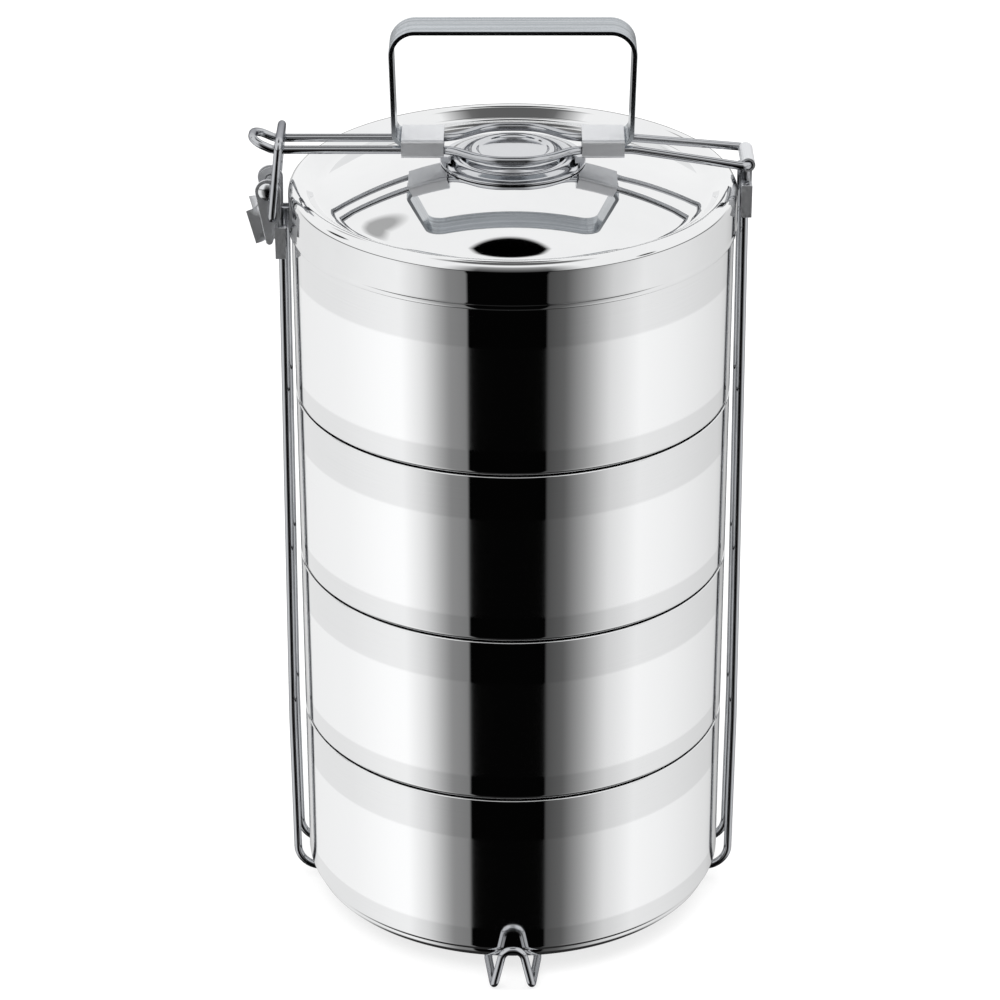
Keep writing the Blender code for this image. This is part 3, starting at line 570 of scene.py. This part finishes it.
# Studio. A plain pale floor and soft light from all round, with one tall dark card in front, four small dark
# cards and a dark patch overhead, seen only in the steel. The camera looks down from a standing person's eyes.
FLOOR_HALF = 8.0
shape = bmesh.new()
bmesh.ops.create_grid(shape, x_segments=1, y_segments=1, size=FLOOR_HALF)
floor = placed("floor", shape)
floor.visible_glossy = False
paper = bpy.data.materials.new("floor_paper")
paper.use_nodes = True
sweep = paper.node_tree.nodes["Principled BSDF"]
sweep.inputs["Base Color"].default_value = (0.30, 0.30, 0.30, 1)
sweep.inputs["Roughness"].default_value = 1
sweep.inputs["Specular IOR Level"].default_value = 0
sweep.inputs["Emission Color"].default_value = (1, 1, 1, 1)
sweep.inputs["Emission Strength"].default_value = 0.72
floor.data.materials.append(paper)
floor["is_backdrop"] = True

# Grey levels round the horizon, by degrees from the front; then cards as direction, half width in degrees,
# softness in degrees and grey level.
CARD_STOPS = ((-180, 0.10), (-168, 0.45), (-143, 0.74), (-100, 0.78), (-70, 0.86), (-60, 0.87), (-48, 0.66),
              (-39, 0.38), (-33, 0.22), (-23.3, 0.18), (-22.7, 0.001), (17.7, 0.001), (18.3, 0.065), (27, 0.10),
              (38, 0.29), (52, 0.62), (70, 0.80), (92, 0.76), (140, 0.62), (168, 0.35), (180, 0.10))
DARK_CARDS = (((-0.01, 0.468, 0.884), 6.8, 0.5, 0.0), ((-0.81, 0.28, 0.51), 6.0, 1.5, 0.02),
              ((0.90, -0.32, 0.30), 5.0, 1.5, 0.05), ((-0.29, 0.70, 0.65), 3.0, 1.0, 0.45))
world = bpy.data.worlds.new("studio")
world.use_nodes = True
bpy.context.scene.world = world
nodes, links = world.node_tree.nodes, world.node_tree.links
direction = nodes.new("ShaderNodeTexCoord")
parts = nodes.new("ShaderNodeSeparateXYZ")
links.new(direction.outputs["Generated"], parts.inputs["Vector"])


def maths(operation, *values):
    """A Math node of the studio's light, fed by sockets or numbers."""
    node = nodes.new("ShaderNodeMath")
    node.operation = operation
    for i, value in enumerate(values):
        if isinstance(value, bpy.types.NodeSocket):
            links.new(value, node.inputs[i])
        else:
            node.inputs[i].default_value = value
    return node.outputs[0]


def graded(value, stops):
    """A ramp of grey levels along a value from 0 to 1."""
    ramp = nodes.new("ShaderNodeValToRGB")
    while len(ramp.color_ramp.elements) > 1:
        ramp.color_ramp.elements.remove(ramp.color_ramp.elements[0])
    ramp.color_ramp.elements[0].position = stops[0][0]
    ramp.color_ramp.elements[0].color = (*[stops[0][1]] * 3, 1)
    for position, level in stops[1:]:
        ramp.color_ramp.elements.new(position).color = (level, level, level, 1)
    links.new(value, ramp.inputs["Fac"])
    return ramp.outputs["Color"]


azimuth = maths("ARCTAN2", parts.outputs["X"], maths("MULTIPLY", parts.outputs["Y"], -1.0))
turn = maths("ADD", maths("DIVIDE", azimuth, math.tau), 0.5)
cards = graded(turn, [((angle + 180) / 360, level) for angle, level in CARD_STOPS])
height = maths("ADD", maths("MULTIPLY", parts.outputs["Z"], 0.5), 0.5)
low = nodes.new("ShaderNodeMix")
low.data_type = "RGBA"
low.inputs["A"].default_value = (0.02, 0.02, 0.02, 1)
links.new(graded(height, ((0.0, 0.0), (0.08, 0.0), (0.14, 1.0), (1.0, 1.0))), low.inputs["Factor"])
links.new(cards, low.inputs["B"])
above = graded(height, ((0.0, 0.0), (0.49, 0.0), (0.51, 1.0), (1.0, 1.0)))
tent = graded(height, ((0.0, 0.80), (0.62, 0.87), (0.965, 0.87), (0.985, 0.12), (1.0, 0.10)))
front = graded(turn, ((0.0, 0.0), (0.40, 0.0), (0.45, 1.0), (0.55, 1.0), (0.60, 0.0), (1.0, 0.0)))
shade = graded(height, ((0.0, 1.0), (0.52, 0.98), (0.70, 0.85), (0.85, 0.65), (0.93, 0.0), (1.0, 0.0)))
ledge = graded(height, ((0.0, 0.1), (0.53, 0.1), (0.56, 1.0), (1.0, 1.0)))
rear = graded(turn, ((0.0, 1.0), (0.12, 1.0), (0.18, 0.0), (0.82, 0.0), (0.88, 1.0), (1.0, 1.0)))
lit = maths("MULTIPLY", tent, maths("MAXIMUM", ledge, rear))
lit = maths("MULTIPLY", lit, maths("SUBTRACT", 1.0, maths("MULTIPLY", front, shade)))
for place, reach_deg, soft, level in DARK_CARDS:
    toward = nodes.new("ShaderNodeVectorMath")
    toward.operation = "DOT_PRODUCT"
    toward.inputs[1].default_value = Vector(place).normalized()
    links.new(direction.outputs["Generated"], toward.inputs[0])
    angle = maths("ARCCOSINE", maths("MINIMUM", toward.outputs["Value"], 1.0))
    edge = nodes.new("ShaderNodeMapRange")
    edge.inputs["From Min"].default_value = math.radians(reach_deg - soft)
    edge.inputs["From Max"].default_value = math.radians(reach_deg + soft)
    edge.inputs["To Min"].default_value = level
    links.new(angle, edge.inputs["Value"])
    lit = maths("MULTIPLY", lit, edge.outputs["Result"])
blend = nodes.new("ShaderNodeMix")
blend.data_type = "RGBA"
links.new(above, blend.inputs["Factor"])
links.new(low.outputs["Result"], blend.inputs["A"])
links.new(lit, blend.inputs["B"])
seen = nodes.new("ShaderNodeLightPath")
view = nodes.new("ShaderNodeMix")
view.data_type = "RGBA"
view.inputs["B"].default_value = (0.93, 0.93, 0.93, 1)
links.new(seen.outputs["Is Camera Ray"], view.inputs["Factor"])
links.new(blend.outputs["Result"], view.inputs["A"])
links.new(view.outputs["Result"], nodes["Background"].inputs["Color"])
nodes["Background"].inputs["Strength"].default_value = 1.22

LAMPS = (((-0.9, -0.6, 1.9), 1.6, 26), ((1.0, 0.5, 1.9), 1.6, 26))
for number, (place, size, power) in enumerate(LAMPS):
    lamp = bpy.data.lights.new(f"soft_light_{number}", "AREA")
    lamp.size = size
    lamp.energy = power
    light = bpy.data.objects.new(lamp.name, lamp)
    light.location = place
    light.rotation_euler = (Vector((0, 0, 0)) - Vector(place)).to_track_quat("-Z", "Y").to_euler()
    light.visible_glossy = False
    bpy.context.scene.collection.objects.link(light)

camera = bpy.data.objects.new("camera", bpy.data.cameras.new("camera"))
bpy.context.scene.collection.objects.link(camera)
LOOK_DOWN = 26.45
camera.location = (STACK_X, -1.171, 0.7417)
camera.rotation_euler = (math.radians(90 - LOOK_DOWN), 0, 0)
camera.data.sensor_width = 36
camera.data.lens = 126
camera.data.shift_x = -0.0129
bpy.context.scene.camera = camera
bpy.context.scene.view_settings.view_transform = "Standard"

size = {"cad": [list(corner) for corner in cad_box], "visual": [list(corner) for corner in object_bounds()]}
